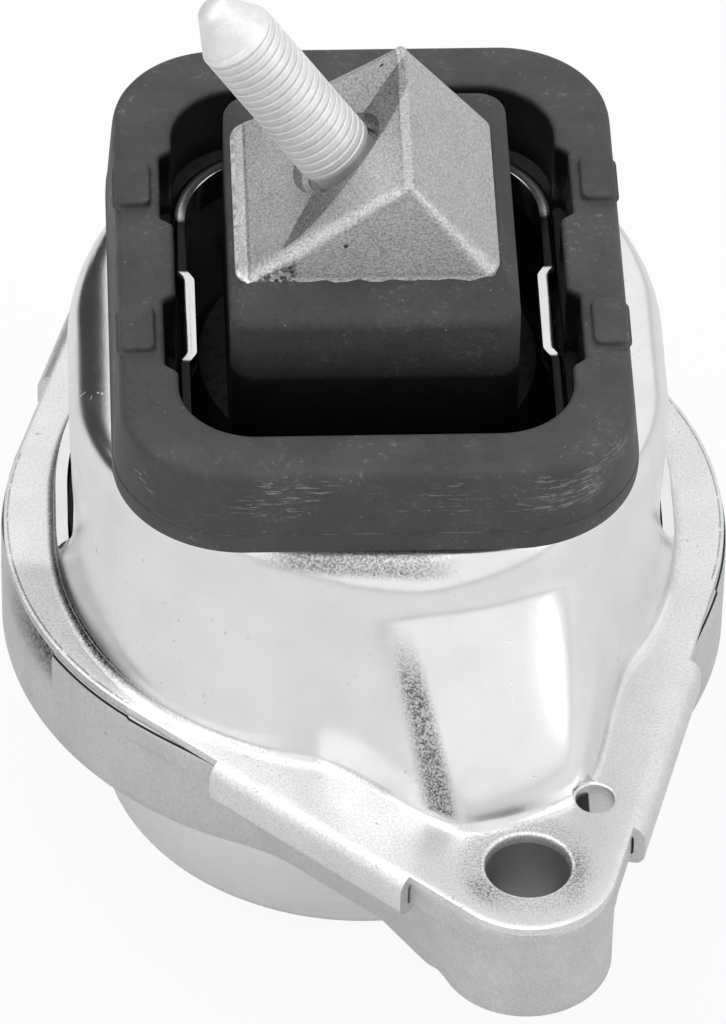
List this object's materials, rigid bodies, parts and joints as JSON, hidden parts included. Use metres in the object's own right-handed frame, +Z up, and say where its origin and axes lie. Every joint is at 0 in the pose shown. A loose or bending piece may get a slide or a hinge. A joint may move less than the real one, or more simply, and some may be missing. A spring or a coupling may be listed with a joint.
{
  "type": "hydraulic engine mount",
  "caption": "Hydraulic rubber engine mount: a slanted stud on a wedge core, a rubber stop frame, a pressed housing and a cast bracket with bolt ears over a cup.",
  "frame": {"origin": "centre of the object's bounding box in X and Y, at the underside of the cup", "axes": "+Z up along the mount's axis; Y along the long way of the two ears, which lie 15.7 degrees off it; the stud leans towards -X"},
  "size_m": [0.1138, 0.1814, 0.1551],
  "materials": {
    "stud_coating": "matt zinc flake",
    "core_casting": "as cast",
    "spring_rubber": "matt",
    "plain_steel": "plain",
    "buffer_rubber": "satin, scuffed",
    "plated_sheet": "bright zinc plate",
    "bracket_casting": "as cast, blasted",
    "plate_casting": "as cast",
    "membrane_rubber": "matt",
    "cup_sheet": "zinc plate"
  },
  "bodies": {
    "root": {"stud": "stud_coating", "core": "core_casting", "main_spring": "spring_rubber", "spring_ring": "plain_steel", "stop_buffer": "buffer_rubber", "upper_housing": "plated_sheet", "base_bracket": "bracket_casting", "upper_orifice_plate": "plate_casting", "lower_orifice_plate": "plain_steel", "decoupler": "membrane_rubber", "bellows": "membrane_rubber", "bellows_ring": "plain_steel", "cup": "cup_sheet"}
  },
  "joints": []
}
